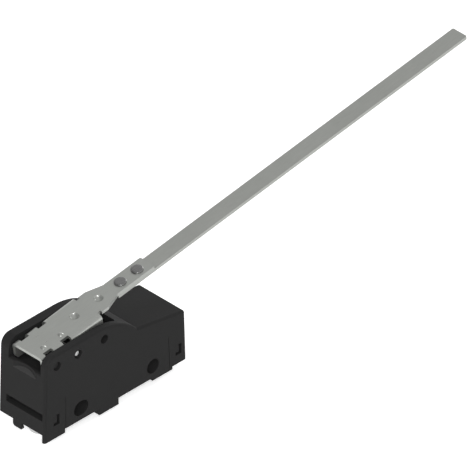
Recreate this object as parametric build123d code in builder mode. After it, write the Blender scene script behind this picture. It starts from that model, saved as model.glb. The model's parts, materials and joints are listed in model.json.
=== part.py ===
from build123d import *
import math
import os

# Micro switch with a long hinge lever, in millimetres.
# The origin is the axis of the round fixing hole, halfway through the housing.
# +X runs along the lever towards its tip, -Y is the cover side and +Z is up.
# Places along X are measured from the middle between the two fixing holes.

# Fixing holes
fixing_pitch = 25.4
fixing_hole = 4.2
fixing_slot = 5.0

# Housing
body_width = 16.5
cover_thickness = 0.9
back_wall = 2.65
left_reach = 25.65
right_reach = 24.65
bottom_height = -3.6
end_draft = 1.7
wall_rise = 3.6
wall_corner = 3.0
hump_start = -6.5
hump_radius = 18.4
hump_foot_round = 0.6
block_slope = 9.7
block_end_drop = 2.2
block_corner = 0.9
edge_round = 0.75

# Trough for the lever, and the scooped sill at its open end
trough_wall = 1.0
trough_back_wall = 3.2
trough_end = 1.45
trough_corner = 0.8
floor_thickness = 1.6
sill_rise = 1.6
sill_thickness = 1.2
sill_round = 0.4
scoop_radius = 9.5
scoop_depth = 0.9
scoop_drop = 0.35

# Chamber under the trough
chamber_left = -23.2
chamber_right = 22.6
base_top = 3.8
chamber_height = 8.3

# Terminal base
groove_bottom = 1.7
groove_depth = 2.1
end_rise = -2.4
end_rise_length = 2.6
lug_width = 3.0
lug_offset = 2.25
lug_height = -4.35
lug_foot = 1.1
lug_root = 0.6
lug_round = 0.9
barrier_left = -6.3
barrier_right = 0.5
barrier_height = -5.55

# Feet, latch windows and scored lines of the cover
left_foot_end = -18.4
left_foot_height = -4.75
right_foot_start = 12.5
right_foot_end = 19.6
right_foot_height = -4.45
window_places = (-22.4, 20.75)
window_width = 2.05
window_height = 3.1
window_bottom = -0.9
latch_gap = 0.8
latch_play = 0.12
latch_chamfer = 0.5
latch_recess = 0.1
left_score = -18.2
right_score = 18.15
score_lean = 0.45
score_top = 6.2
score_width = 0.25
score_depth = 0.08

# Cross holes, the peg in the left one and the lever's pivot pin in the middle one
cross_hole = 2.5
pivot_rise = 3.3
peg_place = -21.0
peg_diameter = 1.4
pivot_place = -13.6
right_place = -4.4
pin_diameter = 1.6
pin_play = 0.05
pin_sink = 0.55
pin_round = 0.15

# Lever: u runs along it from the pivot, v across it and w up from the pivot
lever_angle = 8.29
base_sheet = 0.9
plate_height = 3.93
channel_play = 0.25
channel_bend = 1.2
channel_depth = 5.0
channel_start = -10.05
channel_end = 11.2
channel_corner = 1.2
pivot_ear = 2.6
notch_starts = (-8.3, -2.25)
notch_length = 2.75
notch_half = 3.8
notch_drop = 1.9
neck_half = 3.7
ear_half = 4.3
ear_start = 12.3
ear_end = 14.7
tongue_half = 2.63
tongue_start = 19.5
tongue_end = 32.9
tongue_corner = 0.4
dimple_places = (6.74, 15.33)
dimple_radius = 1.25
dimple_depth = 0.5
dimple_mouth = 1.3
dimple_hollow = 0.75
bump_places = (-6.5, -0.35)
bump_offset = -2.15
bump_radius = 0.8
bump_height = 0.4
blade_start = 19.8
blade_end = 146.0
blade_width = 5.0
blade_sheet = 0.95
blade_corner = 0.4
rivet_places = {"inner": 23.1, "outer": 29.1}
rivet_shank = 2.0
rivet_play = 0.02
rivet_head = 3.35
rivet_head_height = 0.5
rivet_tail = 3.1
rivet_edge = 0.2

# Plunger and its bush
plunger_diameter = 3.2
plunger_play = 0.05
plunger_top_play = 0.05
plunger_dome = 0.5
plunger_tip = 0.8
collar_diameter = 4.6
collar_height = 0.8
collar_play = 0.3
tip_reach = 1.52
bush_flange = 7.0
bush_flange_height = 0.8
bush_barrel = 5.2
bush_play = 0.02
bush_reach = 0.8
bush_edge = 0.2

# Terminals, screws and clamps
terminal_sheet = 0.8
terminal_width = 6.0
terminal_reach = 3.3
terminal_bend = 0.6
terminal_height = -4.0
terminal_play = 0.05
riser_offset = 2.2
screw_places = {"common": -19.9, "closed": 6.3, "open": 19.9}
riser_sides = {"common": -1, "closed": 1, "open": -1}
screw_diameter = 3.5
screw_length = 4.6
screw_tip = 0.5
screw_play = 0.1
head_diameter = 5.8
head_height = 1.9
head_edge = 0.35
drive_width = 0.9
drive_depth = 0.9
clamp_side = 6.6
clamp_sheet = 0.9
clamp_corner = 0.8

# Contact arm, its posts and the contacts
arm_sheet = 0.5
arm_width = 4.4
arm_pivot_place = 4.0
arm_pin_diameter = 1.0
arm_play = 0.08
arm_side_play = 0.15
arm_left = -9.5
step_start = -2.6
step_end = -0.6
knuckle = 2.0
post_width = 2.4
post_sheet = 0.6
contact_place = 14.5
contact_overhang = 1.7
contact_head = 2.6
contact_head_height = 0.6
contact_edge = 0.15
contact_shank = 1.3
contact_play = 0.05
contact_swing = 1.35

# Return spring between the common strip and the contact arm
spring_wire = 0.45
spring_radius = 1.3
spring_turns = 3.5
spring_play = 0.3

# Worked-out places
middle = -fixing_pitch / 2
front_face = -body_width / 2
cover_back = front_face + cover_thickness
trough_front = cover_back + trough_wall
trough_back = body_width / 2 - trough_back_wall
chamber_back = body_width / 2 - back_wall
centre_y = (trough_front + trough_back) / 2
chamber_ceiling = base_top + chamber_height
trough_floor = chamber_ceiling + floor_thickness
sill_height = trough_floor + sill_rise
scoop_bottom = trough_floor - scoop_drop
block_end_height = trough_floor - block_end_drop
cross_height = trough_floor + pivot_rise
wall_height = cross_height + wall_rise
hump_centre = wall_height - hump_radius
draft = math.tan(math.radians(end_draft))
fall = math.tan(math.radians(block_slope))
pivot_hole = pin_diameter + 2 * pin_play
along = (math.cos(math.radians(lever_angle)), 0, math.sin(math.radians(lever_angle)))
above = (-along[2], 0, along[0])
channel_half = (trough_back - trough_front) / 2 - channel_play
sheet_under = plate_height - base_sheet
dimple_bottom = sheet_under - dimple_depth
plunger_place = pivot_place + dimple_places[0] * along[0] + dimple_bottom * above[0]
strip_top = base_top + terminal_sheet
arm_height = strip_top + 2 * contact_head_height + contact_play + arm_sheet / 2
collar_top = chamber_ceiling - bush_reach - collar_play
collar_bottom = collar_top - collar_height
plunger_bottom = collar_bottom - tip_reach
arm_high = plunger_bottom - arm_play - arm_sheet / 2
open_strip_top = arm_height + arm_sheet / 2 + 2 * contact_head_height + contact_swing + terminal_sheet
strip_tops = {"common": strip_top, "closed": strip_top, "open": open_strip_top}
strip_ends = {
    "common": arm_pivot_place + post_width / 2,
    "closed": contact_place + contact_overhang,
    "open": contact_place - contact_overhang,
}
plate_top = terminal_height + terminal_sheet
clamp_bottom = terminal_height - clamp_sheet


def left_end(height):
    return -left_reach + (height - bottom_height) * draft


def right_end(height):
    return right_reach - (height - bottom_height) * draft


def block_top(place):
    return block_end_height + (right_end(block_end_height) - place) * fall


def front_plane(y):
    """Looks at the cover side: sketches run along X from the middle between the holes, and up."""
    return Plane(origin=(middle, y, 0), x_dir=(1, 0, 0), z_dir=(0, -1, 0))


def level_plane(height):
    """Looks down: sketches run along X from the middle between the holes, and along Y."""
    return Plane(origin=(middle, 0, height), x_dir=(1, 0, 0), z_dir=(0, 0, 1))


def lever_point(u, w, v=0.0):
    return (
        middle + pivot_place + u * along[0] + w * above[0],
        centre_y + v,
        cross_height + u * along[2] + w * above[2],
    )


def lever_side():
    return Plane(origin=lever_point(0, 0), x_dir=along, z_dir=(0, -1, 0))


def lever_level(w):
    return Plane(origin=lever_point(0, w), x_dir=along, z_dir=above)


def lever_section(u):
    return Plane(origin=lever_point(u, 0), x_dir=(0, 1, 0), z_dir=along)


def cap_ball(radius, height):
    """Radius of the ball that a round cap is cut from."""
    return (radius**2 + height**2) / (2 * height)


def hump_foot():
    """Where the arc of the hump meets the sloping top of the block."""
    rise = block_top(hump_start) - hump_centre
    square = 1 + fall**2
    reach = (fall * rise + math.sqrt((fall * rise) ** 2 - square * (rise**2 - hump_radius**2))) / square
    return hump_start + reach, block_top(hump_start + reach)


def rectangle_between(left, right, bottom, top, mode=Mode.ADD):
    with Locations(((left + right) / 2, (bottom + top) / 2)):
        Rectangle(abs(right - left), abs(top - bottom), mode=mode)


def housing_outline(bottom_points):
    """Front view of the housing over the given bottom line, which runs from left to right."""
    foot = hump_foot()
    foot_angle = math.degrees(math.atan2(foot[1] - hump_centre, foot[0] - hump_start))
    top_left = (left_end(wall_height), wall_height)
    top_right = (right_end(block_end_height), block_end_height)
    with BuildSketch() as outline:
        with BuildLine():
            Polyline((hump_start, wall_height), top_left, *bottom_points, top_right, foot)
            CenterArc((hump_start, hump_centre), hump_radius, foot_angle, 90 - foot_angle)
        make_face()
        fillet(outline.vertices().sort_by_distance(top_left)[0], wall_corner)
        fillet(outline.vertices().sort_by_distance(top_right)[0], block_corner)
        fillet(outline.vertices().sort_by_distance(foot)[0], hump_foot_round)
    return outline.sketch


def side_holes(holes_above):
    """Round and oblong fixing holes, and the given cross holes above them: place to radius."""
    with BuildSketch() as holes:
        with Locations((fixing_pitch / 2, 0)):
            Circle(fixing_hole / 2)
        with Locations((-fixing_pitch / 2, 0)):
            SlotOverall(fixing_slot, fixing_hole)
        for place, radius in holes_above.items():
            with Locations((place, cross_height)):
                Circle(radius)
    return holes.sketch


def rim_edges(face, lowest):
    """The outline of a side face above the given height, which is rounded."""
    return face.outer_wire().edges().filter_by(lambda edge: edge.center().Z > lowest)


def strip_view(name):
    """Front view of a bent terminal: plate under the base, riser through it and strip inside."""
    side = riser_sides[name]
    inner_face = screw_places[name] + side * riser_offset
    outer_face = inner_face + side * terminal_sheet
    top = strip_tops[name]
    end = strip_ends[name]
    strip_face = min(inner_face, outer_face) if end > inner_face else max(inner_face, outer_face)
    with BuildSketch() as view:
        rectangle_between(outer_face, screw_places[name] - side * terminal_reach, terminal_height, plate_top)
        rectangle_between(inner_face, outer_face, terminal_height, top)
        rectangle_between(strip_face, end, top - terminal_sheet, top)
        fillet(view.vertices().sort_by_distance((outer_face, terminal_height))[0], terminal_bend)
        fillet(view.vertices().sort_by_distance((strip_face, top))[0], terminal_bend)
    return view.sketch


def disc(place, bottom, height, radius, mode=Mode.ADD):
    """A round disc or hole upwards from a height, on the middle line of the mechanism."""
    with Locations((middle + place, centre_y, bottom)):
        Cylinder(radius, height, align=(Align.CENTER, Align.CENTER, Align.MIN), mode=mode)


def drill(place, bottom, depth, radius):
    disc(place, bottom, depth, radius, mode=Mode.SUBTRACT)


def drill_screw_hole(name):
    drill(screw_places[name], terminal_height, terminal_sheet, screw_diameter / 2 + screw_play)


# Moulded case: outline, chamber, trough with its open end, and holes
with BuildPart() as case:
    end_step = left_end(bottom_height) + end_rise_length
    case_bottom = [
        (left_end(end_rise), end_rise),
        (end_step, end_rise),
        (end_step, bottom_height),
        (right_end(bottom_height), bottom_height),
    ]
    with BuildSketch(front_plane(cover_back)):
        add(housing_outline(case_bottom))
    extrude(amount=-(body_width - cover_thickness))
    fillet(rim_edges(case.faces().sort_by(Axis.Y)[-1], end_rise + edge_round), edge_round)

    # Room for the base, open below and at both ends
    with BuildSketch(front_plane(cover_back)):
        rectangle_between(-2 * left_reach, 2 * right_reach, 2 * barrier_height, base_top)
    extrude(amount=-(chamber_back - cover_back), mode=Mode.SUBTRACT)

    # Chamber, whose ceiling follows the trough floor and the sloping top
    slope_start = right_end(block_end_height) + (block_end_height - trough_floor) / fall
    with BuildSketch(front_plane(cover_back)):
        with BuildLine():
            Polyline(
                (chamber_left, base_top),
                (chamber_left, chamber_ceiling),
                (slope_start, chamber_ceiling),
                (chamber_right, block_top(chamber_right) - floor_thickness),
                (chamber_right, base_top),
                close=True,
            )
        make_face()
    extrude(amount=-(chamber_back - cover_back), mode=Mode.SUBTRACT)

    # Trough, open to the left over its sill
    sill_back = left_end(sill_height) + sill_thickness
    with BuildSketch(level_plane(trough_floor)) as trough_plan:
        rectangle_between(sill_back, trough_end, trough_front, trough_back)
        fillet(trough_plan.vertices().group_by(Axis.X)[-1], trough_corner)
    extrude(amount=wall_height, mode=Mode.SUBTRACT)
    with BuildSketch(level_plane(sill_height)):
        rectangle_between(-2 * left_reach, sill_back, trough_front, trough_back)
    extrude(amount=wall_height, mode=Mode.SUBTRACT)
    sill_edge = (middle + left_end(sill_height), centre_y, sill_height)
    fillet(case.edges().sort_by_distance(sill_edge)[0], sill_round)

    # Scoop in the outside of the sill: a round back over a sloping bottom
    scoop_left = left_end(scoop_bottom)
    with BuildPart(mode=Mode.SUBTRACT):
        with BuildSketch(level_plane(scoop_bottom)):
            with Locations((scoop_left + scoop_depth - scoop_radius, centre_y)):
                Circle(scoop_radius)
        extrude(amount=wall_height)
        with BuildSketch(front_plane(front_face)):
            with BuildLine():
                Polyline(
                    (scoop_left, scoop_bottom),
                    (scoop_left + 2 * scoop_depth, scoop_bottom + 2 * scoop_depth),
                    (scoop_left + 2 * scoop_depth, scoop_bottom),
                    close=True,
                )
            make_face()
        extrude(amount=-body_width, mode=Mode.SUBTRACT)

    # Bush seat and holes
    drill(plunger_place, chamber_ceiling, floor_thickness, bush_barrel / 2 + bush_play)
    with BuildSketch(front_plane(front_face)):
        add(side_holes({pivot_place: pivot_hole / 2, right_place: cross_hole / 2}))
    extrude(amount=-body_width, mode=Mode.SUBTRACT)

    # Locating peg, as deep in the cover as the pin
    with BuildSketch(front_plane(cover_back)):
        with Locations((peg_place, cross_height)):
            Circle(peg_diameter / 2)
    extrude(amount=cover_thickness - pin_sink)
case.part.label = "case"


# Side cover: the whole front side, with its feet, latch windows and scored lines
with BuildPart() as side_cover:
    cover_bottom = [
        (left_end(left_foot_height), left_foot_height),
        (left_foot_end, left_foot_height),
        (left_foot_end, bottom_height),
        (barrier_left, bottom_height),
        (barrier_left, barrier_height),
        (barrier_right, barrier_height),
        (barrier_right, bottom_height),
        (right_foot_start, bottom_height),
        (right_foot_start, right_foot_height),
        (right_foot_end, right_foot_height),
        (right_foot_end, bottom_height),
        (right_end(bottom_height), bottom_height),
    ]
    with BuildSketch(front_plane(front_face)):
        add(housing_outline(cover_bottom))
    extrude(amount=-cover_thickness)
    fillet(rim_edges(side_cover.faces().sort_by(Axis.Y)[0], bottom_height + edge_round), edge_round)

    # Latch windows
    with BuildSketch(front_plane(front_face)):
        for place in window_places:
            rectangle_between(place, place + window_width, window_bottom, window_bottom + window_height)
    extrude(amount=-cover_thickness, mode=Mode.SUBTRACT)

    # Scored lines
    with BuildSketch(front_plane(front_face)):
        with BuildLine():
            Line((left_score, score_top), (left_score, bottom_height))
            Line((right_score, score_top), (right_score + score_lean, bottom_height))
        trace(line_width=score_width)
    extrude(amount=-score_depth, mode=Mode.SUBTRACT)
    with BuildSketch(front_plane(front_face)):
        add(side_holes(dict.fromkeys((peg_place, pivot_place, right_place), cross_hole / 2)))
    extrude(amount=-body_width, mode=Mode.SUBTRACT)
side_cover.part.label = "side_cover"


# Terminal base, held between the case and the cover
with BuildPart() as terminal_base:
    groove_left = left_end(groove_bottom) + groove_depth
    groove_right = right_end(groove_bottom) - groove_depth
    with BuildSketch(front_plane(cover_back)):
        with BuildLine():
            Polyline(
                (left_end(end_rise), end_rise),
                (left_end(groove_bottom), groove_bottom),
                (groove_left, groove_bottom),
                (groove_left, base_top),
                (groove_right, base_top),
                (groove_right, groove_bottom),
                (right_end(groove_bottom), groove_bottom),
                (right_end(bottom_height), bottom_height),
                (end_step, bottom_height),
                (end_step, end_rise),
                close=True,
            )
        make_face()
        rectangle_between(barrier_left, barrier_right, barrier_height, bottom_height)
    extrude(amount=-(chamber_back - cover_back))

    # Hooked lug at the left end, rounded towards the back
    lug_middle = centre_y + lug_offset
    with BuildSketch(front_plane(lug_middle)):
        with BuildLine():
            Polyline(
                (left_end(end_rise), end_rise),
                (left_end(lug_height), lug_height),
                (left_end(lug_height) + lug_foot, lug_height),
                (left_end(end_rise) + lug_root, end_rise),
                close=True,
            )
        make_face()
    extrude(amount=lug_width / 2, both=True)
    lug_corner = (middle + left_end(lug_height) + lug_foot / 2, lug_middle + lug_width / 2, lug_height)
    fillet(terminal_base.edges().sort_by_distance(lug_corner)[0], lug_round)

    # Latch hooks, which fill the windows but for a gap on two sides
    window_top = window_bottom + window_height
    with BuildSketch(front_plane(cover_back)):
        for place in window_places:
            hook_end = place + window_width - latch_gap
            with BuildLine():
                Polyline(
                    (place + latch_play, window_bottom + latch_gap),
                    (hook_end, window_bottom + latch_gap),
                    (hook_end, window_top - latch_chamfer),
                    (hook_end - latch_chamfer, window_top),
                    (place + latch_play, window_top),
                    close=True,
                )
            make_face()
    extrude(amount=cover_thickness - latch_recess)

    # Slots for the risers, pockets for the plates and holes for the screws
    half_slot = terminal_width / 2 + terminal_play
    for name, side in riser_sides.items():
        screw_place = screw_places[name]
        riser_ends = (screw_place + side * riser_offset, screw_place + side * (riser_offset + terminal_sheet))
        plate_ends = (*riser_ends, screw_place - side * terminal_reach)
        with BuildSketch(level_plane(barrier_height)):
            rectangle_between(
                min(riser_ends) - terminal_play,
                max(riser_ends) + terminal_play,
                centre_y - half_slot,
                centre_y + half_slot,
            )
        extrude(amount=base_top - barrier_height, mode=Mode.SUBTRACT)
        with BuildSketch(level_plane(barrier_height)):
            rectangle_between(
                min(plate_ends) - terminal_play,
                max(plate_ends) + terminal_play,
                centre_y - half_slot,
                centre_y + half_slot,
            )
        extrude(amount=plate_top - barrier_height, mode=Mode.SUBTRACT)
        hole_depth = clamp_bottom + screw_length + screw_play - plate_top
        drill(screw_place, plate_top, hole_depth, screw_diameter / 2 + screw_play)
    with BuildSketch(front_plane(front_face)):
        add(side_holes({}))
    extrude(amount=-body_width, mode=Mode.SUBTRACT)
terminal_base.part.label = "terminal_base"


# Terminals: the common one carries the contact arm between two posts
with BuildPart() as common_terminal:
    with BuildSketch(front_plane(centre_y)):
        add(strip_view("common"))
    extrude(amount=terminal_width / 2, both=True)
    drill_screw_hole("common")
    post_inner = arm_width / 2 + arm_side_play
    for side in (-1, 1):
        with BuildSketch(front_plane(centre_y + side * (post_inner + post_sheet / 2))):
            rectangle_between(
                arm_pivot_place - post_width / 2,
                arm_pivot_place + post_width / 2,
                strip_top - terminal_sheet,
                arm_height,
            )
            with Locations((arm_pivot_place, arm_height)):
                Circle(post_width / 2)
                Circle(arm_pin_diameter / 2 + pin_play, mode=Mode.SUBTRACT)
        extrude(amount=post_sheet / 2, both=True)
common_terminal.part.label = "common_terminal"

with BuildPart() as closed_terminal:
    with BuildSketch(front_plane(centre_y)):
        add(strip_view("closed"))
    extrude(amount=terminal_width / 2, both=True)
    drill_screw_hole("closed")
    drill(contact_place, base_top, terminal_sheet, contact_shank / 2 + rivet_play)
closed_terminal.part.label = "closed_terminal"

with BuildPart() as open_terminal:
    with BuildSketch(front_plane(centre_y)):
        add(strip_view("open"))
    extrude(amount=terminal_width / 2, both=True)
    drill_screw_hole("open")
    drill(contact_place, open_strip_top - terminal_sheet, terminal_sheet, contact_shank / 2 + rivet_play)
open_terminal.part.label = "open_terminal"


def contact_rivet(label, shank_bottom, shank_height, heads):
    """A contact riveted through a strip, with a head at each of the given heights."""
    with BuildPart() as contact:
        disc(contact_place, shank_bottom, shank_height, contact_shank / 2)
        for bottom in heads:
            with BuildSketch(level_plane(bottom)):
                with Locations((contact_place, centre_y)):
                    Circle(contact_head / 2)
            extrude(amount=contact_head_height)
        chamfer(
            contact.edges().filter_by(GeomType.CIRCLE).filter_by(
                lambda edge: abs(edge.radius - contact_head / 2) < contact_edge
            ),
            contact_edge,
        )
    contact.part.label = label
    return contact


arm_bottom = arm_height - arm_sheet / 2
arm_top = arm_height + arm_sheet / 2
open_strip_bottom = open_strip_top - terminal_sheet
closed_contact = contact_rivet("closed_contact", base_top, terminal_sheet, [strip_top])
moving_contact = contact_rivet("moving_contact", arm_bottom, arm_sheet, [arm_bottom - contact_head_height, arm_top])
open_contact = contact_rivet(
    "open_contact", open_strip_bottom, terminal_sheet, [open_strip_bottom - contact_head_height]
)


# Contact arm, stepped up to the plunger and hinged on its knuckle
with BuildPart() as contact_arm:
    with BuildSketch(front_plane(centre_y)):
        with BuildLine():
            Polyline(
                (arm_left, arm_high),
                (step_start, arm_high),
                (step_end, arm_height),
                (contact_place + contact_overhang, arm_height),
            )
        trace(line_width=arm_sheet)
        with Locations((arm_pivot_place, arm_height)):
            Circle(knuckle / 2)
            Circle(arm_pin_diameter / 2 + pin_play, mode=Mode.SUBTRACT)
    extrude(amount=arm_width / 2, both=True)
    drill(contact_place, arm_bottom, arm_sheet, contact_shank / 2 + rivet_play)
contact_arm.part.label = "contact_arm"

with BuildPart() as arm_pin:
    with BuildSketch(front_plane(centre_y)):
        with Locations((arm_pivot_place, arm_height)):
            Circle(arm_pin_diameter / 2)
    extrude(amount=post_inner + post_sheet, both=True)
arm_pin.part.label = "arm_pin"


# Return spring under the plunger
with BuildPart() as return_spring:
    spring_bottom = strip_top + spring_wire / 2
    spring_height = arm_high - arm_sheet / 2 - spring_play - spring_wire / 2 - spring_bottom
    with BuildLine() as coil:
        Helix(
            spring_height / spring_turns,
            spring_height,
            spring_radius,
            center=(middle + plunger_place, centre_y, spring_bottom),
        )
    with BuildSketch(Plane(origin=coil.line @ 0, z_dir=coil.line % 0)):
        Circle(spring_wire / 2)
    sweep(is_frenet=True)
return_spring.part.label = "return_spring"


# Plunger, domed at both ends, and the bush that guides it
with BuildPart() as plunger:
    plunger_axis = (middle + plunger_place, centre_y, 0)
    radius = plunger_diameter / 2
    dimple_ball = cap_ball(dimple_radius, dimple_depth)
    ball_height = lever_point(dimple_places[0], dimple_bottom + dimple_ball)[2]
    plunger_top = ball_height - dimple_ball - plunger_top_play
    top_ball = cap_ball(radius, plunger_dome)
    tip_ball = cap_ball(radius, plunger_tip)
    top_angle = math.degrees(math.asin(radius / top_ball))
    tip_angle = math.degrees(math.asin(radius / tip_ball))
    with BuildSketch(Plane(origin=plunger_axis, x_dir=(1, 0, 0), z_dir=(0, -1, 0))):
        with BuildLine():
            Line((0, plunger_top), (0, plunger_bottom))
            CenterArc((0, plunger_bottom + tip_ball), tip_ball, -90, tip_angle)
            Polyline(
                (radius, plunger_bottom + plunger_tip),
                (radius, collar_bottom),
                (collar_diameter / 2, collar_bottom),
                (collar_diameter / 2, collar_top),
                (radius, collar_top),
                (radius, plunger_top - plunger_dome),
            )
            CenterArc((0, plunger_top - top_ball), top_ball, 90 - top_angle, top_angle)
        make_face()
    revolve(axis=Axis(plunger_axis, (0, 0, 1)))
plunger.part.label = "plunger"

with BuildPart() as plunger_bush:
    disc(plunger_place, chamber_ceiling - bush_reach, floor_thickness + bush_reach, bush_barrel / 2)
    disc(plunger_place, trough_floor, bush_flange_height, bush_flange / 2)
    chamfer(plunger_bush.edges().group_by(Axis.Z)[-1], bush_edge)
    bush_height = floor_thickness + bush_reach + bush_flange_height
    drill(plunger_place, chamber_ceiling - bush_reach, bush_height, plunger_diameter / 2 + plunger_play)
plunger_bush.part.label = "plunger_bush"


def clamp_screw(name):
    """A slotted screw from below, through its clamp and terminal into the base."""
    with BuildPart() as screw:
        disc(screw_places[name], clamp_bottom - head_height, head_height, head_diameter / 2)
        fillet(screw.edges().group_by(Axis.Z)[0], head_edge)
        disc(screw_places[name], clamp_bottom, screw_length, screw_diameter / 2)
        chamfer(screw.edges().group_by(Axis.Z)[-1], screw_tip)
        with BuildSketch(level_plane(clamp_bottom - head_height)):
            with Locations((screw_places[name], centre_y)):
                Rectangle(head_diameter, drive_width)
        extrude(amount=drive_depth, mode=Mode.SUBTRACT)
    screw.part.label = f"{name}_screw"
    return screw


def wire_clamp(name):
    """The square washer that presses a wire against the terminal plate."""
    with BuildPart() as clamp:
        with BuildSketch(level_plane(clamp_bottom)) as plan:
            with Locations((screw_places[name], centre_y)):
                Rectangle(clamp_side, clamp_side)
            chamfer(plan.vertices(), clamp_corner)
        extrude(amount=clamp_sheet)
        drill(screw_places[name], clamp_bottom, clamp_sheet, screw_diameter / 2 + screw_play)
    clamp.part.label = f"{name}_clamp"
    return clamp


# Pivot pin of the lever, sunk at both ends
with BuildPart() as pivot_pin:
    with BuildSketch(front_plane(front_face + pin_sink)):
        with Locations((pivot_place, cross_height)):
            Circle(pin_diameter / 2)
    extrude(amount=2 * pin_sink - body_width)
    chamfer(pivot_pin.edges().filter_by(GeomType.CIRCLE), pin_round)
pivot_pin.part.label = "pivot_pin"


def cap_view(radius, height):
    """Half section of a round cap pressed out of the lever's sheet, with its root in the sheet."""
    ball = cap_ball(radius, height)
    opening = math.degrees(math.asin(radius / ball))
    with BuildSketch() as view:
        with BuildLine():
            Polyline((0, height), (0, -base_sheet / 2), (radius, -base_sheet / 2), (radius, 0))
            CenterArc((0, height - ball), ball, 90 - opening, opening)
        make_face()
    return view.sketch


# Lever base: a bent channel with pivot ears, running out into a flat tongue
with BuildPart() as lever_base:
    inner_half = channel_half - base_sheet
    with BuildSketch(lever_section(channel_start)) as section:
        rectangle_between(-channel_half, channel_half, -pivot_ear, plate_height)
        fillet(section.vertices().group_by(Axis.Y)[-1], channel_bend)
        rectangle_between(-inner_half, inner_half, -pivot_ear, sheet_under, mode=Mode.SUBTRACT)
        fillet(section.vertices().group_by(Axis.Y)[-2], channel_bend - base_sheet)
    extrude(amount=channel_end - channel_start)

    # Side view of the flanges, with the ears round the pivot
    with BuildSketch(lever_side()) as flange_view:
        rectangle_between(channel_start, channel_end, plate_height - channel_depth, plate_height)
        fillet(flange_view.vertices().group_by(Axis.Y)[0], channel_corner)
        Circle(pivot_ear)
        Circle(pivot_hole / 2, mode=Mode.SUBTRACT)
    extrude(amount=body_width, both=True, mode=Mode.INTERSECT)

    # Notches through the bends
    with BuildSketch(lever_level(plate_height)):
        for start in notch_starts:
            for side in (-1, 1):
                rectangle_between(start, start + notch_length, side * notch_half, side * 2 * channel_half)
    extrude(amount=-notch_drop, mode=Mode.SUBTRACT)

    # Neck, ears and tapered tongue
    with BuildSketch(lever_level(sheet_under)) as tongue_plan:
        with BuildLine():
            Polyline(
                (channel_end, 0),
                (channel_end, neck_half),
                (ear_start, neck_half),
                (ear_start, ear_half),
                (ear_end, ear_half),
                (tongue_start, tongue_half),
                (tongue_end, tongue_half),
                (tongue_end, 0),
            )
            mirror(about=Plane.XZ)
        make_face()
        fillet(tongue_plan.vertices().group_by(Axis.X)[-1], tongue_corner)
    extrude(amount=base_sheet)

    # Bearing dimples, pressed down, and small bumps, pressed up
    hollow_ball = cap_ball(dimple_mouth, dimple_hollow)
    for place in dimple_places:
        seat = lever_point(place, sheet_under)
        with BuildSketch(Plane(origin=seat, x_dir=along, z_dir=(0, 1, 0))):
            add(cap_view(dimple_radius, dimple_depth))
        revolve(axis=Axis(seat, above))
        with Locations(lever_point(place, plate_height + hollow_ball - dimple_hollow)):
            Sphere(hollow_ball, mode=Mode.SUBTRACT)
    for place in bump_places:
        seat = lever_point(place, plate_height, bump_offset)
        with BuildSketch(Plane(origin=seat, x_dir=along, z_dir=(0, -1, 0))):
            add(cap_view(bump_radius, bump_height))
        revolve(axis=Axis(seat, above))

    with BuildSketch(lever_level(sheet_under)):
        with Locations(*[(place, 0) for place in rivet_places.values()]):
            Circle(rivet_shank / 2 + rivet_play)
    extrude(amount=base_sheet, mode=Mode.SUBTRACT)
lever_base.part.label = "lever_base"

with BuildPart() as lever_blade:
    with BuildSketch(lever_level(sheet_under)) as blade_plan:
        rectangle_between(blade_start, blade_end, -blade_width / 2, blade_width / 2)
        fillet(blade_plan.vertices(), blade_corner)
        with Locations(*[(place, 0) for place in rivet_places.values()]):
            Circle(rivet_shank / 2 + rivet_play, mode=Mode.SUBTRACT)
    extrude(amount=-blade_sheet)
lever_blade.part.label = "lever_blade"


def blade_rivet(name):
    """A flat-headed rivet through the tongue and the blade."""
    blade_under = sheet_under - blade_sheet
    with BuildPart() as rivet:
        with BuildSketch(lever_level(plate_height)):
            with Locations((rivet_places[name], 0)):
                Circle(rivet_head / 2)
        extrude(amount=rivet_head_height)
        with BuildSketch(lever_level(blade_under)):
            with Locations((rivet_places[name], 0)):
                Circle(rivet_tail / 2)
        extrude(amount=-rivet_head_height)
        heads = rivet.edges().filter_by(GeomType.CIRCLE).sort_by(Axis(lever_point(0, 0), above))
        chamfer([heads[0], heads[-1]], rivet_edge)
        with BuildSketch(lever_level(blade_under)):
            with Locations((rivet_places[name], 0)):
                Circle(rivet_shank / 2)
        extrude(amount=plate_height - blade_under)
    rivet.part.label = f"{name}_rivet"
    return rivet


pieces = [
    case,
    side_cover,
    terminal_base,
    common_terminal,
    closed_terminal,
    open_terminal,
    *[clamp_screw(name) for name in screw_places],
    *[wire_clamp(name) for name in screw_places],
    closed_contact,
    open_contact,
    moving_contact,
    contact_arm,
    arm_pin,
    return_spring,
    plunger,
    plunger_bush,
    pivot_pin,
    lever_base,
    lever_blade,
    *[blade_rivet(name) for name in rivet_places],
]

os.makedirs("parts", exist_ok=True)
for piece in pieces:
    export_step(piece.part, f"parts/{piece.part.label}.step")
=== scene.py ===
import bpy
import json
import math
from mathutils import Matrix, Vector


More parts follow.
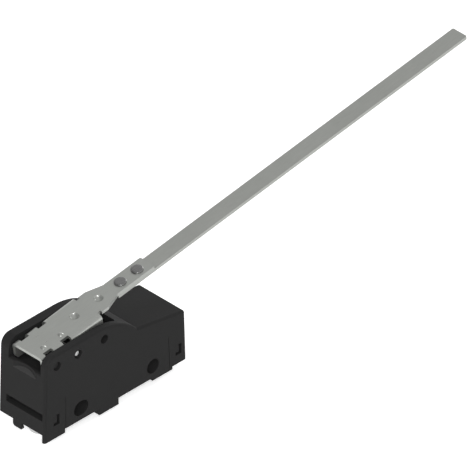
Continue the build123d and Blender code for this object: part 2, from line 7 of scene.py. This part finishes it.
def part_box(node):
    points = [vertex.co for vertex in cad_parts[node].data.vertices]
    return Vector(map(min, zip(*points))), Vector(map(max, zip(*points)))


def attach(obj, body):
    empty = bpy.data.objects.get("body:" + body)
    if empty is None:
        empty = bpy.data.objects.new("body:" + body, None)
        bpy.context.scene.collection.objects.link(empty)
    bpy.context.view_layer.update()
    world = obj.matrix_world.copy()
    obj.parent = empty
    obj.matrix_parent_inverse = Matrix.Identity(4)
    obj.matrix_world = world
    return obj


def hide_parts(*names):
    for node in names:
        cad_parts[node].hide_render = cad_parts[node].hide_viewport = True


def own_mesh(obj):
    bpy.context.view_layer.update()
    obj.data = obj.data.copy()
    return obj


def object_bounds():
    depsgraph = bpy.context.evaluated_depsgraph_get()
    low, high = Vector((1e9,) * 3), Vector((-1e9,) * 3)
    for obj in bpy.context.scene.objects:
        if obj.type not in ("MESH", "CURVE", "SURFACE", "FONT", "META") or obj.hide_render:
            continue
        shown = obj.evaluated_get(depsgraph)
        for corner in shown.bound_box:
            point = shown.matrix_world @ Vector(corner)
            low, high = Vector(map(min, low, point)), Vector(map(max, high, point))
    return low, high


# Looks of a micro switch with a long hinge lever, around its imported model
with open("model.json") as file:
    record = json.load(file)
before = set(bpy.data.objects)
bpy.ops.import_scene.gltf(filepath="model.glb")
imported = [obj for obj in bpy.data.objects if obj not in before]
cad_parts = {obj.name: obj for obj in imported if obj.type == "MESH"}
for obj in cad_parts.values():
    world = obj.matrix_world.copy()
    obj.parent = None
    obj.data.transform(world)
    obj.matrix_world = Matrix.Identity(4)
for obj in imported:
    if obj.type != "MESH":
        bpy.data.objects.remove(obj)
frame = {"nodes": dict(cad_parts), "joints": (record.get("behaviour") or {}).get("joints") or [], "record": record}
cadLow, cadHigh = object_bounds()
mm = 0.001
print("frame loaded:", len(frame["nodes"]), "nodes")


def rowNamed(rows, name):
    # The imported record's own row of that name
    return next(row for row in rows if row["name"] == name)


slotPlace = Vector(rowNamed(frame["record"]["mounts"], "fixing_slot")["pos_m"])
leverPivot = Vector(rowNamed(frame["joints"], "lever_pivot")["pos_m"])


# Node trees
def feed(tree, value, socket):
    # Links another node's output to the socket, or sets a plain value
    if isinstance(value, bpy.types.NodeSocket):
        tree.links.new(value, socket)
    else:
        socket.default_value = value


def addNode(tree, kind, values=None, **settings):
    # Settings come first, because they decide which sockets a node has
    node = tree.nodes.new(kind)
    for setting, value in settings.items():
        setattr(node, setting, value)
    for socket, value in (values or {}).items():
        feed(tree, value, node.inputs[socket])
    return node


def addMath(tree, operation, *values):
    return addNode(tree, "ShaderNodeMath", dict(enumerate(values)), operation=operation).outputs[0]


def socketKind(value):
    if isinstance(value, tuple):
        return "NodeSocketColor" if len(value) == 4 else "NodeSocketVector"
    return "NodeSocketInt" if isinstance(value, int) else "NodeSocketFloat"


def addInputs(tree, values):
    for label, value in values.items():
        socket = tree.interface.new_socket(label, in_out="INPUT", socket_type=socketKind(value))
        socket.default_value = value


# Camera and studio
cameraLook = {
    "lens": 1500.0,  # long enough to draw parallel edges parallel
    "sensor": 36.0,
    "pictureWidth": 118.2 * mm,  # what the picture spans at the object
    "right": 29.63 * mm,  # from halfway between the fixing holes to the picture's middle
    "up": 38.23 * mm,
    "towards": (-1.0, -1.0, 1.0),
    "nearest": 0.1,
    "farthest": 4.0,  # times the camera's distance
}
studioLook = {
    "background": (1.0, 1.0, 1.0, 1.0),
    "skyLevel": 0.12,  # daylight at the height of the object
    "skyOverhead": 1.0,
    "shineLevel": 1.5,  # what polished faces see level with them
    "shineOverhead": 0.58,
    "shineFalloff": 3.0,
    "shineBehind": 0.4,  # share of it that is left in the dark corner behind the left end
    "cornerDark": -1.0,  # X less Y of a direction where that corner is darkest
    "cornerLight": -0.2,  # and where it ends
    "floorShine": 1.1,  # what polished faces see of the floor
    "floorColour": (0.9, 0.9, 0.9, 1.0),
    "floorLift": 0.5,  # added for the camera alone
    "floorSize": 3.0,
    "floorGap": 0.02 * mm,
}
lampLooks = {
    "keyLamp": {"power": 10.8, "size": 0.35, "place": (-0.8, -0.8, 0.76), "mirrored": False},
    "sparkLamp": {"power": 4.4, "size": 0.22, "place": (-0.72, -0.9, 0.7), "mirrored": True},
    "sideLamp": {"power": 2.6, "size": 0.3, "place": (-1.0, 0.2, 0.85), "mirrored": False},
    "windowLamp": {"power": 2.2, "size": 0.35, "place": (0.89, 0.2, 0.36), "mirrored": True},
}


def makeCamera(look):
    towards = Vector(look["towards"]).normalized()
    right = Vector((0, 0, 1)).cross(towards).normalized()
    up = towards.cross(right)
    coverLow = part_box("side_cover")[0]
    holeMiddle = Vector((slotPlace.x / 2, coverLow.y, 0))
    aim = holeMiddle + right * look["right"] + up * look["up"]
    distance = look["pictureWidth"] * look["lens"] / look["sensor"]
    data = bpy.data.cameras.new("viewCamera")
    data.lens = look["lens"]
    data.sensor_width = look["sensor"]
    data.clip_start = look["nearest"]
    data.clip_end = look["farthest"] * distance
    camera = bpy.data.objects.new("viewCamera", data)
    camera.location = aim + towards * distance
    camera.rotation_euler = (-towards).to_track_quat("-Z", "Y").to_euler()
    bpy.context.scene.collection.objects.link(camera)
    bpy.context.scene.camera = camera
    return aim


def addChoice(tree, chosen, otherwise, shown):
    # Shows the last shader to rays of the chosen kind, and the one before it to all others
    values = {0: chosen, 1: otherwise.outputs[0], 2: shown.outputs[0]}
    return addNode(tree, "ShaderNodeMixShader", values)


def makeWorld(look):
    world = bpy.data.worlds.new("studio")
    bpy.context.scene.world = world
    world.use_nodes = True
    tree = world.node_tree
    tree.nodes.clear()
    paths = addNode(tree, "ShaderNodeLightPath")
    directions = addNode(tree, "ShaderNodeTexCoord")
    split = addNode(tree, "ShaderNodeSeparateXYZ", {0: directions.outputs["Generated"]})
    upward = addMath(tree, "MAXIMUM", split.outputs["Z"], 0.0)
    sky = addMath(tree, "MULTIPLY_ADD", upward, look["skyOverhead"] - look["skyLevel"], look["skyLevel"])
    # A polished face sees bright walls, a dim ceiling and a dark corner behind the left end
    level = addMath(tree, "POWER", addMath(tree, "SUBTRACT", 1.0, upward), look["shineFalloff"])
    span = look["shineLevel"] - look["shineOverhead"]
    walls = addMath(tree, "MULTIPLY_ADD", level, span, look["shineOverhead"])
    corner = addNode(
        tree,
        "ShaderNodeMapRange",
        {
            "Value": addMath(tree, "SUBTRACT", split.outputs["X"], split.outputs["Y"]),
            "From Min": look["cornerDark"],
            "From Max": look["cornerLight"],
            "To Min": look["shineBehind"],
        },
    )
    around = addMath(tree, "MULTIPLY", walls, corner.outputs["Result"])
    light = addNode(tree, "ShaderNodeBackground", {"Color": look["background"], "Strength": sky})
    shine = addNode(tree, "ShaderNodeBackground", {"Color": look["background"], "Strength": around})
    shown = addNode(tree, "ShaderNodeBackground", {"Color": look["background"]})
    unseen = addChoice(tree, paths.outputs["Is Glossy Ray"], light, shine)
    whole = addChoice(tree, paths.outputs["Is Camera Ray"], unseen, shown)
    addNode(tree, "ShaderNodeOutputWorld", {"Surface": whole.outputs[0]})


def makeFloor(look):
    half = look["floorSize"] / 2
    height = cadLow.z - look["floorGap"]
    mesh = bpy.data.meshes.new("floor")
    corners = [(-half, -half), (half, -half), (half, half), (-half, half)]
    mesh.from_pydata([(x, y, height) for x, y in corners], [], [(0, 1, 2, 3)])
    floor = bpy.data.objects.new("floor", mesh)
    bpy.context.scene.collection.objects.link(floor)
    material = bpy.data.materials.new("paleFloor")
    material.use_nodes = True
    tree = material.node_tree
    tree.nodes.clear()
    paths = addNode(tree, "ShaderNodeLightPath")
    lift = addMath(tree, "MULTIPLY", paths.outputs["Is Camera Ray"], look["floorLift"])
    diffuse = addNode(tree, "ShaderNodeBsdfDiffuse", {"Color": look["floorColour"]})
    lifted = addNode(tree, "ShaderNodeEmission", {"Strength": lift})
    both = addNode(tree, "ShaderNodeAddShader", {0: diffuse.outputs[0], 1: lifted.outputs[0]})
    shine = addNode(tree, "ShaderNodeEmission", {"Strength": look["floorShine"]})
    whole = addChoice(tree, paths.outputs["Is Glossy Ray"], both, shine)
    addNode(tree, "ShaderNodeOutputMaterial", {"Surface": whole.outputs[0]})
    mesh.materials.append(material)


def makeLamp(name, look, aim):
    # A lamp either lights the faces, or is only mirrored by the polished ones
    data = bpy.data.lights.new(name, "AREA")
    data.energy = look["power"]
    data.size = look["size"]
    place = Vector(look["place"])
    lamp = bpy.data.objects.new(name, data)
    lamp.location = aim + place
    lamp.rotation_euler = (-place).to_track_quat("-Z", "Y").to_euler()
    lamp.visible_camera = False
    lamp.visible_diffuse = not look["mirrored"]
    lamp.visible_glossy = look["mirrored"]
    bpy.context.scene.collection.objects.link(lamp)


aim = makeCamera(cameraLook)
makeWorld(studioLook)
makeFloor(studioLook)
for lampName, lampLook in lampLooks.items():
    makeLamp(lampName, lampLook, aim)
bpy.context.scene.view_settings.view_transform = "Standard"
print("camera, world, floor and lamps made")


# Finishes
surfaceOutputs = {"Colour": "NodeSocketColor", "Roughness": "NodeSocketFloat", "Height": "NodeSocketFloat"}


def newGroup(name, values, outputs):
    group = bpy.data.node_groups.new(name, "ShaderNodeTree")
    group.interface.new_socket("Vector", in_out="INPUT", socket_type="NodeSocketVector")
    addInputs(group, values)
    for label, kind in outputs.items():
        group.interface.new_socket(label, in_out="OUTPUT", socket_type=kind)
    return group, addNode(group, "NodeGroupInput").outputs, addNode(group, "NodeGroupOutput").inputs


def addNoise(group, given, place, scale, detail):
    values = {"Vector": place, "Scale": scale, "Detail": given[detail]}
    return addNode(group, "ShaderNodeTexNoise", values).outputs["Fac"]


def addTone(group, given, share, first, second):
    values = {"Factor": share, "A": given[first], "B": given[second]}
    return addNode(group, "ShaderNodeMix", values, data_type="RGBA").outputs["Result"]


def addRough(group, given, share):
    values = {"Value": share, "To Min": given["Smooth"], "To Max": given["Rough"]}
    return addNode(group, "ShaderNodeMapRange", values).outputs["Result"]


def makeMouldGroup():
    # Moulded plastic: fine spark-eroded grain over a slow cloud of tone
    values = {
        "Grain Scale": 5200.0,
        "Grain Detail": 3.0,
        "Grain Share": 0.35,
        "Cloud Scale": 90.0,
        "Cloud Detail": 2.0,
        "Deep": (0.01, 0.01, 0.01, 1.0),
        "Raised": (0.02, 0.02, 0.02, 1.0),
        "Smooth": 0.4,
        "Rough": 0.6,
    }
    group, given, result = newGroup("mouldedSurface", values, surfaceOutputs)
    grain = addNoise(group, given, given["Vector"], given["Grain Scale"], "Grain Detail")
    cloud = addNoise(group, given, given["Vector"], given["Cloud Scale"], "Cloud Detail")
    blend = addMath(group, "MULTIPLY_ADD", grain, given["Grain Share"], cloud)
    feed(group, addTone(group, given, blend, "Deep", "Raised"), result["Colour"])
    feed(group, addRough(group, given, cloud), result["Roughness"])
    feed(group, grain, result["Height"])
    return group


def makeRolledGroup():
    # Rolled or turned metal: streaks along one axis, with a slow cloud of tone
    values = {
        "Streak Scale": (60.0, 2400.0, 2400.0),
        "Streak Detail": 4.0,
        "Cloud Scale": 70.0,
        "Cloud Detail": 2.0,
        "Cloud Share": 0.5,
        "Dull": (0.25, 0.25, 0.24, 1.0),
        "Bright": (0.35, 0.35, 0.34, 1.0),
        "Smooth": 0.3,
        "Rough": 0.45,
    }
    group, given, result = newGroup("rolledMetal", values, surfaceOutputs)
    both = {0: given["Vector"], 1: given["Streak Scale"]}
    stretched = addNode(group, "ShaderNodeVectorMath", both, operation="MULTIPLY").outputs[0]
    streak = addNoise(group, given, stretched, 1.0, "Streak Detail")
    cloud = addNoise(group, given, given["Vector"], given["Cloud Scale"], "Cloud Detail")
    mixed = {"Factor": given["Cloud Share"], "A": streak, "B": cloud}
    blend = addNode(group, "ShaderNodeMix", mixed, data_type="FLOAT").outputs["Result"]
    feed(group, addTone(group, given, blend, "Dull", "Bright"), result["Colour"])
    feed(group, addRough(group, given, blend), result["Roughness"])
    feed(group, streak, result["Height"])
    return group


def makeHighlightMaskGroup(values):
    # Mask of a slope that rises inward at 45 degrees from the left end, where a highlight is painted
    group, given, result = newGroup("highlightSlopeMask", values, {"Mask": "NodeSocketFloat"})
    axes = addNode(group, "ShaderNodeSeparateXYZ", {0: given["Vector"]}).outputs
    offset = addMath(group, "SUBTRACT", axes["Z"], axes["X"])
    near = addMath(group, "COMPARE", offset, given["Height Less Place"], given["Thickness"])
    within = addMath(group, "COMPARE", axes["Y"], given["Side Middle"], given["Side Reach"])
    outside = addMath(group, "LESS_THAN", axes["X"], given["Inner End"])
    mask = addMath(group, "MULTIPLY", near, addMath(group, "MULTIPLY", within, outside))
    feed(group, mask, result["Mask"])
    return group


def grey(value):
    return (value, value, value, 1.0)


def makeFinish(name, group, body, tones):
    material = bpy.data.materials.new(name)
    material.use_nodes = True
    tree = material.node_tree
    places = addNode(tree, "ShaderNodeTexCoord")
    values = {"Vector": places.outputs["Object"], **tones}
    surface = addNode(tree, "ShaderNodeGroup", values, node_tree=group).outputs
    relief = {"Strength": body["bumpStrength"], "Distance": body["bumpDepth"], "Height": surface["Height"]}
    bump = addNode(tree, "ShaderNodeBump", relief)
    shader = tree.nodes["Principled BSDF"].inputs
    feed(tree, surface["Colour"], shader["Base Color"])
    feed(tree, surface["Roughness"], shader["Roughness"])
    feed(tree, bump.outputs["Normal"], shader["Normal"])
    feed(tree, body["metallic"], shader["Metallic"])
    feed(tree, body["specular"], shader["Specular IOR Level"])
    return material


def paintScoopHighlight(material, look):
    # Painted highlight: the scoop's slope in the sill is given a lighter colour than the rest of the moulding,
    # standing in for light falling on it from above the left end
    tree = material.node_tree
    baseColour = tree.nodes["Principled BSDF"].inputs["Base Color"]
    moulded = baseColour.links[0].from_socket
    places = addNode(tree, "ShaderNodeTexCoord")
    values = {"Vector": places.outputs["Object"]}
    slope = addNode(tree, "ShaderNodeGroup", values, node_tree=makeHighlightMaskGroup(look["slope"]))
    tones = {"Factor": slope.outputs["Mask"], "A": moulded, "B": look["tone"]}
    tone = addNode(tree, "ShaderNodeMix", tones, data_type="RGBA")
    feed(tree, tone.outputs["Result"], baseColour)


mouldGroup = makeMouldGroup()
rolledGroup = makeRolledGroup()
plasticBody = {"bumpStrength": 0.25, "bumpDepth": 0.02 * mm, "metallic": 0.0, "specular": 0.07}
metalBody = {"bumpStrength": 0.12, "bumpDepth": 0.01 * mm, "metallic": 1.0, "specular": 0.5}
sheetBody = {"bumpStrength": 0.12, "bumpDepth": 0.01 * mm, "metallic": 0.8, "specular": 0.5}
finishLooks = {
    "housing": (
        "blackMoulding",
        mouldGroup,
        plasticBody,
        {"Deep": grey(0.0155), "Raised": grey(0.02), "Smooth": 0.5, "Rough": 0.62},
    ),
    "lever_sheet": (
        "leverSheet",
        rolledGroup,
        sheetBody,
        {
            "Dull": (0.36, 0.37, 0.35, 1.0),
            "Bright": (0.47, 0.483, 0.458, 1.0),
            "Smooth": 0.25,
            "Rough": 0.32,
        },
    ),
    "blade_steel": (
        "bladeStrip",
        rolledGroup,
        sheetBody,
        {
            "Dull": (0.335, 0.343, 0.325, 1.0),
            "Bright": (0.47, 0.482, 0.455, 1.0),
            "Smooth": 0.25,
            "Rough": 0.32,
        },
    ),
    "rivet_steel": (
        "rivetSteel",
        rolledGroup,
        metalBody,
        {"Dull": grey(0.22), "Bright": grey(0.31), "Smooth": 0.22, "Rough": 0.32},
    ),
    "pin_steel": (
        "pinSteel",
        rolledGroup,
        metalBody,
        {"Dull": grey(0.5), "Bright": grey(0.62), "Smooth": 0.25, "Rough": 0.4},
    ),
    "screw_plating": (
        "zincPlate",
        rolledGroup,
        metalBody,
        {"Dull": grey(0.5), "Bright": grey(0.62), "Smooth": 0.28, "Rough": 0.42},
    ),
    "terminal_brass": (
        "terminalBrass",
        rolledGroup,
        metalBody,
        {"Dull": (0.42, 0.28, 0.09, 1.0), "Bright": (0.55, 0.38, 0.14, 1.0), "Smooth": 0.3, "Rough": 0.45},
    ),
    "arm_alloy": (
        "armAlloy",
        rolledGroup,
        metalBody,
        {"Dull": (0.42, 0.2, 0.1, 1.0), "Bright": (0.56, 0.28, 0.15, 1.0), "Smooth": 0.3, "Rough": 0.42},
    ),
    "contact_silver": (
        "contactSilver",
        rolledGroup,
        metalBody,
        {"Dull": grey(0.6), "Bright": grey(0.75), "Smooth": 0.25, "Rough": 0.4},
    ),
    "spring_steel": (
        "springSteel",
        rolledGroup,
        metalBody,
        {"Dull": grey(0.38), "Bright": grey(0.5), "Smooth": 0.22, "Rough": 0.35},
    ),
    "plunger_plastic": (
        "plungerPlastic",
        mouldGroup,
        plasticBody,
        {"Deep": grey(0.016), "Raised": grey(0.022), "Smooth": 0.3, "Rough": 0.42},
    ),
    "bush_plastic": (
        "bushAcetal",
        mouldGroup,
        plasticBody,
        {"Deep": grey(0.006), "Raised": grey(0.01), "Smooth": 0.3, "Rough": 0.4},
    ),
}
finishes = {slot: makeFinish(*look) for slot, look in finishLooks.items()}
for row in frame["record"]["subparts"]:
    node = frame["nodes"][row["node"]]
    node.data.materials.clear()
    node.data.materials.append(finishes[row["material_slot"]])
print("finishes made:", len(finishes))

# Painted highlight on the scoop's slope: a lighter colour in place of light falling on it from above the left end
scoopHighlightLook = {
    "tone": grey(0.038),
    "slope": {
        "Height Less Place": 51.2 * mm,  # height less X, the same all over the slope
        "Thickness": 0.05 * mm,
        "Inner End": -36.9 * mm,
        "Side Middle": leverPivot.y,
        "Side Reach": 4.1 * mm,
    },
}
paintScoopHighlight(finishes["housing"], scoopHighlightLook)
print("scoop highlight painted")


# Pieces grown from node trees
seamGap = 0.0005 * mm  # points closer than this are one
polesShare = 0.001  # less of a shank's length than any step of its grid


def newPieceTree(name, sizes):
    tree = bpy.data.node_groups.new(name, "GeometryNodeTree")
    tree.interface.new_socket("Places", in_out="INPUT", socket_type="NodeSocketGeometry")
    addInputs(tree, sizes)
    tree.interface.new_socket("Material", in_out="INPUT", socket_type="NodeSocketMaterial")
    tree.interface.new_socket("Piece", in_out="OUTPUT", socket_type="NodeSocketGeometry")
    return tree, addNode(tree, "NodeGroupInput").outputs, addNode(tree, "NodeGroupOutput").inputs


def addGrid(tree, across, along):
    # A unit grid, with each point's share of its width and of its length
    columns = addMath(tree, "ADD", across, 1.0)
    rows = addMath(tree, "ADD", along, 1.0)
    grid = addNode(tree, "GeometryNodeMeshGrid", {"Vertices X": columns, "Vertices Y": rows})
    place = addNode(tree, "GeometryNodeInputPosition")
    split = addNode(tree, "ShaderNodeSeparateXYZ", {0: place.outputs[0]})
    shares = [addMath(tree, "ADD", split.outputs[axis], 0.5) for axis in ("X", "Y")]
    return grid.outputs["Mesh"], *shares


def wrapGrid(tree, mesh, around, reach, height):
    # Wraps a grid round the axis, and closes its seam and poles
    angle = addMath(tree, "MULTIPLY", around, 2 * math.pi)
    x = addMath(tree, "MULTIPLY", reach, addMath(tree, "COSINE", angle))
    y = addMath(tree, "MULTIPLY", reach, addMath(tree, "SINE", angle))
    place = addNode(tree, "ShaderNodeCombineXYZ", {"X": x, "Y": y, "Z": height})
    placed = addNode(tree, "GeometryNodeSetPosition", {"Geometry": mesh, "Position": place.outputs[0]})
    closed = {"Geometry": placed.outputs[0], "Distance": seamGap}
    return addNode(tree, "GeometryNodeMergeByDistance", closed).outputs[0]


def addTurned(tree, given, radius, height):
    # A turned head: its side is a rounded square that closes on the axis at both ends
    mesh, around, upward = addGrid(tree, given["Segments"], given["Rings"])
    lean = addMath(tree, "MULTIPLY", addMath(tree, "SUBTRACT", upward, 0.5), math.pi)
    narrow = addMath(tree, "MAXIMUM", addMath(tree, "COSINE", lean), 0.0)
    rise = addMath(tree, "SINE", lean)
    reach = addMath(tree, "MULTIPLY", addMath(tree, "POWER", narrow, given["Squareness"]), radius)
    over = addMath(tree, "POWER", addMath(tree, "MAXIMUM", rise, 0.0), given["Squareness"])
    above = addMath(tree, "MULTIPLY", over, height)
    below = addMath(tree, "MULTIPLY", addMath(tree, "MINIMUM", rise, 0.0), given["Sink"])
    return wrapGrid(tree, mesh, around, reach, addMath(tree, "ADD", above, below))


def addMoved(tree, mesh, height, turn=0.0):
    lifted = addNode(tree, "ShaderNodeCombineXYZ", {"Z": height})
    values = {"Geometry": mesh, "Translation": lifted.outputs[0], "Rotation": (turn, 0.0, 0.0)}
    return addNode(tree, "GeometryNodeTransform", values).outputs[0]


def addSmooth(tree, mesh, crease):
    # Smooth all over, but for the edges that turn more than the crease
    smooth = addNode(tree, "GeometryNodeSetShadeSmooth", {"Geometry": mesh})
    edge = addNode(tree, "GeometryNodeInputMeshEdgeAngle")
    folded = addMath(tree, "GREATER_THAN", edge.outputs["Unsigned Angle"], crease)
    values = {"Geometry": smooth.outputs[0], "Selection": folded, "Shade Smooth": False}
    return addNode(tree, "GeometryNodeSetShadeSmooth", values, domain="EDGE").outputs[0]


def joinMeshes(tree, meshes):
    joined = addNode(tree, "GeometryNodeJoinGeometry")
    for mesh in meshes:
        feed(tree, mesh, joined.inputs[0])
    return joined.outputs[0]


def finishTree(tree, given, result, mesh, turn=(0.0, 0.0, 0.0)):
    # One copy at each place, made real and given its material
    values = {"Points": given["Places"], "Instance": mesh, "Rotation": turn}
    copies = addNode(tree, "GeometryNodeInstanceOnPoints", values)
    real = addNode(tree, "GeometryNodeRealizeInstances", {0: copies.outputs[0]})
    finish = {"Geometry": real.outputs[0], "Material": given["Material"]}
    painted = addNode(tree, "GeometryNodeSetMaterial", finish)
    feed(tree, painted.outputs[0], result["Piece"])


def growPiece(name, tree, places, sizes, material, matrix):
    # Runs the tree on the given places, and keeps the result as a plain mesh
    seeds = bpy.data.meshes.new(name + "Places")
    seeds.from_pydata(places, [], [])
    seedObject = bpy.data.objects.new(name + "Places", seeds)
    bpy.context.scene.collection.objects.link(seedObject)
    modifier = seedObject.modifiers.new(name, "NODES")
    modifier.node_group = tree
    for item in tree.interface.items_tree:
        if item.in_out == "INPUT" and item.name in sizes:
            modifier[item.identifier] = sizes[item.name]
        elif item.in_out == "INPUT" and item.name == "Material":
            modifier[item.identifier] = material
    bpy.context.view_layer.update()
    evaluated = seedObject.evaluated_get(bpy.context.evaluated_depsgraph_get())
    mesh = bpy.data.meshes.new_from_object(evaluated)
    mesh.name = name
    mesh.transform(matrix)
    seedObject.modifiers.remove(modifier)
    bpy.data.objects.remove(seedObject)
    piece = bpy.data.objects.new(name, mesh)
    bpy.context.scene.collection.objects.link(piece)
    return piece


# Rivets that hold the blade to the tongue
rivetLook = {
    "sizes": {
        "Radius": 1.67 * mm,
        "Tail Radius": 1.55 * mm,
        "Height": 0.5 * mm,
        "Sink": 0.05 * mm,
        "Grip": 1.85 * mm,  # both sheets together
        "Squareness": 0.38,
        "Crease": 1.2,
        "Segments": 48,
        "Rings": 28,
    },
    "lean": math.radians(8.29),  # how far the lever rises at rest
    "plateTop": 3.93 * mm,  # from the pivot up to the tongue's upper side
    "along": (23.1 * mm, 29.1 * mm),  # from the pivot to each rivet
}


def makeRivetTree(sizes):
    tree, given, result = newPieceTree("turnedRivet", sizes)
    head = addTurned(tree, given, given["Radius"], given["Height"])
    tail = addTurned(tree, given, given["Tail Radius"], given["Height"])
    hung = addMoved(tree, tail, addMath(tree, "MULTIPLY", given["Grip"], -1.0), math.pi)
    finishTree(tree, given, result, addSmooth(tree, joinMeshes(tree, [head, hung]), given["Crease"]))
    return tree


bladeRivets = growPiece(
    "bladeRivets",
    makeRivetTree(rivetLook["sizes"]),
    [(place, 0.0, rivetLook["plateTop"]) for place in rivetLook["along"]],
    rivetLook["sizes"],
    finishes["rivet_steel"],
    Matrix.Translation(leverPivot) @ Matrix.Rotation(-rivetLook["lean"], 4, "Y"),
)
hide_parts("inner_rivet", "outer_rivet")
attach(bladeRivets, "lever")
print("rivets made:", len(bladeRivets.data.polygons), "faces")


# Slotted terminal screws
screwLook = {
    "sizes": {
        "Radius": 2.9 * mm,
        "Height": 1.9 * mm,
        "Sink": 0.02 * mm,
        "Squareness": 0.45,
        "Crease": 0.7,
        "Segments": 48,
        "Rings": 28,
        "Slot Width": 0.9 * mm,
        "Slot Depth": 0.9 * mm,
        "Shank Radius": 1.75 * mm,
        "Shank Length": 4.55 * mm,
        "Thread Pitch": 0.6 * mm,
        "Thread Depth": 0.3 * mm,
        "Thread Rings": 64,
        "Seed": 4,
    },
    "nodes": ("common_screw", "closed_screw", "open_screw"),
}


def addSlotted(tree, given):
    # The slot is cut by a bar that is longer than the head and reaches as far above it as into it
    head = addTurned(tree, given, given["Radius"], given["Height"])
    length = addMath(tree, "MULTIPLY", given["Radius"], 3.0)
    depth = addMath(tree, "MULTIPLY", given["Slot Depth"], 2.0)
    sides = addNode(tree, "ShaderNodeCombineXYZ", {"X": length, "Y": given["Slot Width"], "Z": depth})
    bar = addNode(tree, "GeometryNodeMeshCube", {"Size": sides.outputs[0]})
    lifted = addMoved(tree, bar.outputs["Mesh"], given["Height"])
    meshes = {"Mesh 1": head, "Mesh 2": lifted}
    slotted = addNode(tree, "GeometryNodeMeshBoolean", meshes, operation="DIFFERENCE")
    return addMoved(tree, slotted.outputs[0], 0.0, math.pi)


def addShank(tree, given):
    # A grid wrapped round the axis, whose radius follows the thread and closes at both ends
    mesh, around, upward = addGrid(tree, given["Segments"], given["Thread Rings"])
    height = addMath(tree, "MULTIPLY", upward, given["Shank Length"])
    wound = addMath(tree, "ADD", addMath(tree, "DIVIDE", height, given["Thread Pitch"]), around)
    groove = addMath(tree, "MULTIPLY", addMath(tree, "PINGPONG", wound, 0.5), 2.0)
    cut = addMath(tree, "MULTIPLY", groove, given["Thread Depth"])
    full = addMath(tree, "SUBTRACT", given["Shank Radius"], cut)
    inside = addMath(tree, "GREATER_THAN", addMath(tree, "PINGPONG", upward, 0.5), polesShare)
    return wrapGrid(tree, mesh, around, addMath(tree, "MULTIPLY", full, inside), height)


def makeScrewTree(sizes):
    tree, given, result = newPieceTree("slottedScrew", sizes)
    screw = joinMeshes(tree, [addSlotted(tree, given), addShank(tree, given)])
    angle = addNode(tree, "FunctionNodeRandomValue", {"Max": math.pi, "Seed": given["Seed"]})
    turn = addNode(tree, "ShaderNodeCombineXYZ", {"Z": angle.outputs["Value"]})
    finishTree(tree, given, result, addSmooth(tree, screw, given["Crease"]), turn.outputs[0])
    return tree


screwSpots = []
for screwName in screwLook["nodes"]:
    low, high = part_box(screwName)
    headFoot = low.z + screwLook["sizes"]["Height"]
    screwSpots.append(((low.x + high.x) / 2, (low.y + high.y) / 2, headFoot))
clampScrews = growPiece(
    "clampScrews",
    makeScrewTree(screwLook["sizes"]),
    screwSpots,
    screwLook["sizes"],
    finishes["screw_plating"],
    Matrix(),
)
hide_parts(*screwLook["nodes"])
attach(clampScrews, "switch_body")
print("screws made:", len(clampScrews.data.polygons), "faces")


# Return spring under the contact arm
coilLow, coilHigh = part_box("return_spring")
coilLook = {
    "sizes": {
        "Wire Radius": 0.225 * mm,
        "Coil Radius": 1.3 * mm,
        "Turns": 3.5,
        "Crease": 0.9,
        "Steps": 40,
        "Sides": 12,
    },
    "pressed": 0.66,  # what is left of its height with the lever down
}


def makeCoilTree(sizes):
    tree, given, result = newPieceTree("wireCoil", sizes)
    path = {
        "Resolution": given["Steps"],
        "Rotations": given["Turns"],
        "Start Radius": given["Coil Radius"],
        "End Radius": given["Coil Radius"],
        "Height": given["Coil Height"],
    }
    spiral = addNode(tree, "GeometryNodeCurveSpiral", path).outputs[0]
    circle = {"Resolution": given["Sides"], "Radius": given["Wire Radius"]}
    ring = addNode(tree, "GeometryNodeCurvePrimitiveCircle", circle).outputs[0]
    values = {"Curve": spiral, "Profile Curve": ring, "Fill Caps": True}
    drawn = addNode(tree, "GeometryNodeCurveToMesh", values)
    finishTree(tree, given, result, addSmooth(tree, drawn.outputs[0], given["Crease"]))
    return tree


wireRadius = coilLook["sizes"]["Wire Radius"]
coilBottom = coilLow.z + wireRadius
coilSpot = ((coilLow.x + coilHigh.x) / 2, (coilLow.y + coilHigh.y) / 2, coilBottom)
coilLook["sizes"]["Coil Height"] = coilHigh.z - wireRadius - coilBottom
returnCoil = growPiece(
    "returnCoil",
    makeCoilTree(coilLook["sizes"]),
    [coilSpot],
    coilLook["sizes"],
    finishes["spring_steel"],
    Matrix(),
)
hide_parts("return_spring")
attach(returnCoil, "switch_body")
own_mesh(returnCoil)
print("return spring made:", len(returnCoil.data.polygons), "faces")
